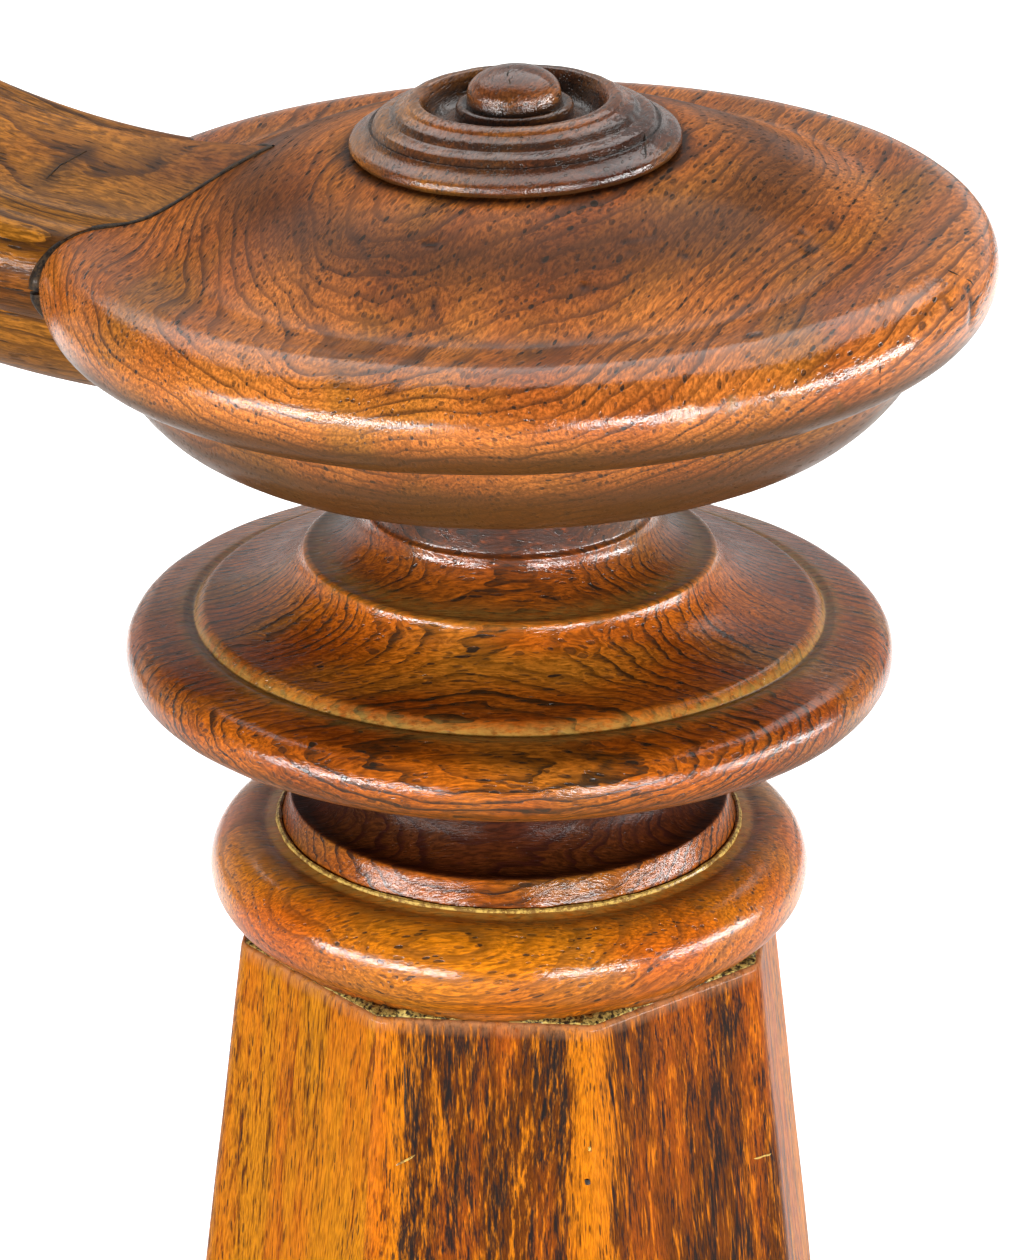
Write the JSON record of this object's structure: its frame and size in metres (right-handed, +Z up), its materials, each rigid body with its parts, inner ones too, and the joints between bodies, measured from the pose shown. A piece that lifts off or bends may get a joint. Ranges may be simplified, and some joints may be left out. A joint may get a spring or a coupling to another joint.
{
  "type": "newel post",
  "caption": "Tapered eight-sided wooden newel post with a turned ringed head, a round cap with a rosette, and the mitred start of its handrail.",
  "frame": {"origin": "on the floor at the axis of the shaft, in the middle of the underside of the plinth", "axes": "+Z up along the shaft; the shaft's front face looks along -Y; the handrail leaves the cap towards -X, a little towards +Y"},
  "size_m": [0.3495, 0.346, 1.1264],
  "materials": {
    "shaft_wood": "varnished, straight dark streaks",
    "foot_wood": "varnished",
    "collar_wood": "polished varnish",
    "capital_wood": "polished varnish, dark figure",
    "cap_wood": "polished varnish, open pores",
    "rosette_wood": "old varnish with dark residue",
    "rail_wood": "polished varnish"
  },
  "bodies": {
    "root": {"cap": "cap_wood", "capital": "capital_wood", "collar": "collar_wood", "foot_moulding_1": "foot_wood", "foot_moulding_2": "foot_wood", "foot_moulding_3": "foot_wood", "foot_moulding_4": "foot_wood", "foot_moulding_5": "foot_wood", "foot_moulding_6": "foot_wood", "foot_moulding_7": "foot_wood", "foot_moulding_8": "foot_wood", "handrail": "rail_wood", "plinth_base": "foot_wood", "plinth_board_1": "foot_wood", "plinth_board_2": "foot_wood", "plinth_board_3": "foot_wood", "plinth_board_4": "foot_wood", "plinth_board_5": "foot_wood", "plinth_board_6": "foot_wood", "plinth_board_7": "foot_wood", "plinth_board_8": "foot_wood", "plinth_top": "foot_wood", "rosette": "rosette_wood", "stave_1": "shaft_wood", "stave_2": "shaft_wood", "stave_3": "shaft_wood", "stave_4": "shaft_wood", "stave_5": "shaft_wood", "stave_6": "shaft_wood", "stave_7": "shaft_wood", "stave_8": "shaft_wood"}
  },
  "joints": []
}
